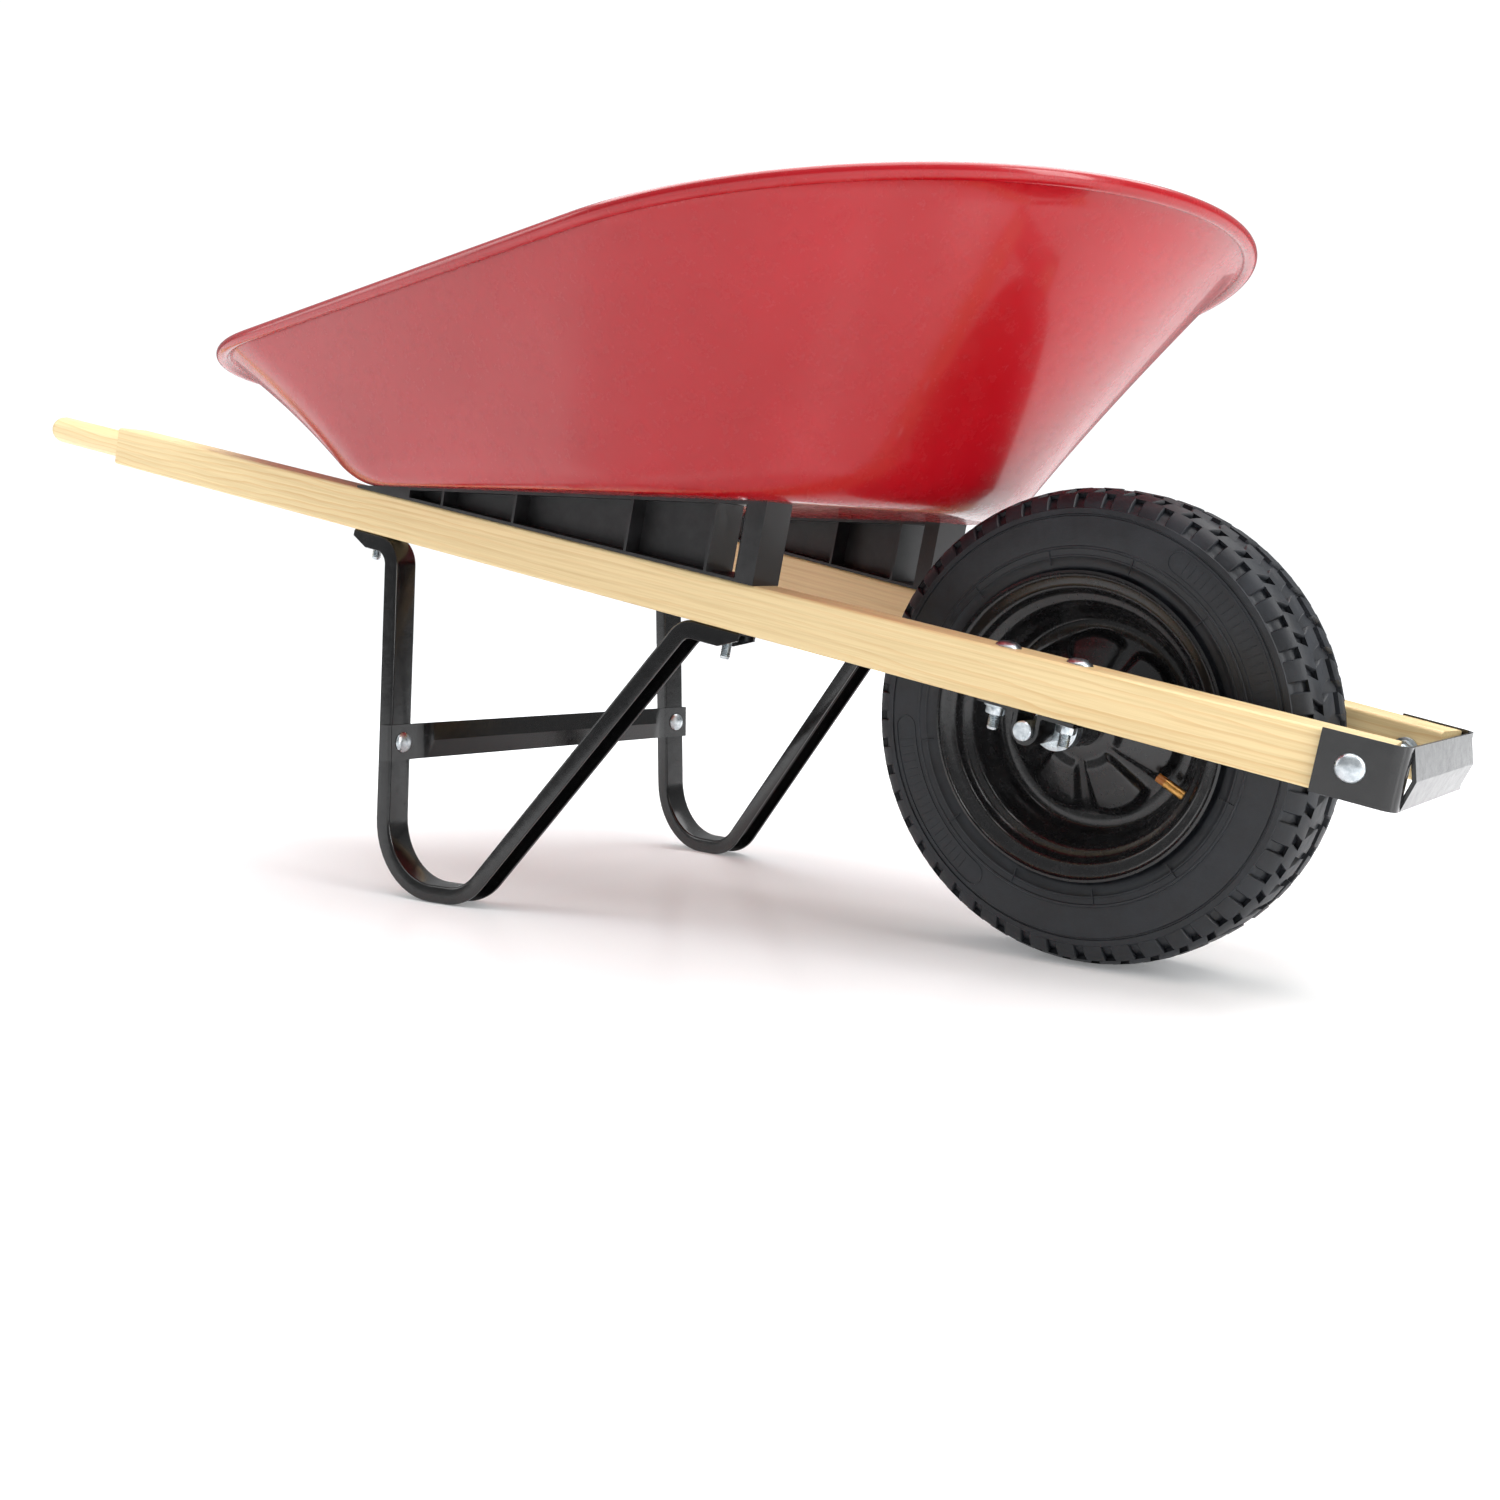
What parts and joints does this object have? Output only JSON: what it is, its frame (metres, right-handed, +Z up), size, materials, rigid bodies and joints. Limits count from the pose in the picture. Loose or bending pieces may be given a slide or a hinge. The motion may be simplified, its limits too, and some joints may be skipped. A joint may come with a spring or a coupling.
{
  "type": "wheelbarrow",
  "caption": "Contractor's wheelbarrow: red steel tray on wooden handles with black channel legs, leg brace, wheel guard and a pneumatic front wheel that spins.",
  "frame": {"origin": "on the floor under the middle of the barrow, halfway between the grip ends and the front of the wheel guard", "axes": "+X forward towards the wheel, +Y to the left handle, +Z up"},
  "size_m": [1.5721, 0.743, 0.6146],
  "materials": {
    "tray_paint": "gloss red enamel",
    "frame_paint": "semi-gloss black enamel",
    "rim_paint": "gloss black enamel",
    "wood": "clear-coated pine",
    "wedge_plastic": "matte black moulding",
    "tyre_rubber": "matte black rubber",
    "tube_rubber": "matte",
    "zinc": "bright zinc plating",
    "steel": "bright drawn bar",
    "brass": "brass",
    "cap_plastic": "matte black"
  },
  "bodies": {
    "frame": {"axle": "steel", "axle_bracket_left": "frame_paint", "axle_bracket_right": "frame_paint", "axle_spacers": "zinc", "brace_bolts": "zinc", "brace_nuts": "zinc", "bracket_bolts": "zinc", "bracket_nuts": "zinc", "front_tray_bolts": "zinc", "guard_bolts": "zinc", "guard_nuts": "zinc", "handle_left": "wood", "handle_right": "wood", "leg_brace": "frame_paint", "leg_left": "frame_paint", "leg_right": "frame_paint", "rear_tray_bolts": "zinc", "tray": "tray_paint", "tray_nuts": "zinc", "wedge_left": "wedge_plastic", "wedge_right": "wedge_plastic", "wheel_guard": "frame_paint"},
    "wheel": {"bearing_left": "zinc", "bearing_right": "zinc", "hub": "rim_paint", "inner_tube": "tube_rubber", "rim_left": "rim_paint", "rim_right": "rim_paint", "tyre": "tyre_rubber", "valve_cap": "cap_plastic", "valve_stem": "brass"}
  },
  "joints": [
    {"name": "wheel_spin", "type": "hinge", "parent": "frame", "child": "wheel", "pos_m": [0.50996, 0, 0.2], "axis": [0, 1, 0], "continuous": true}
  ]
}
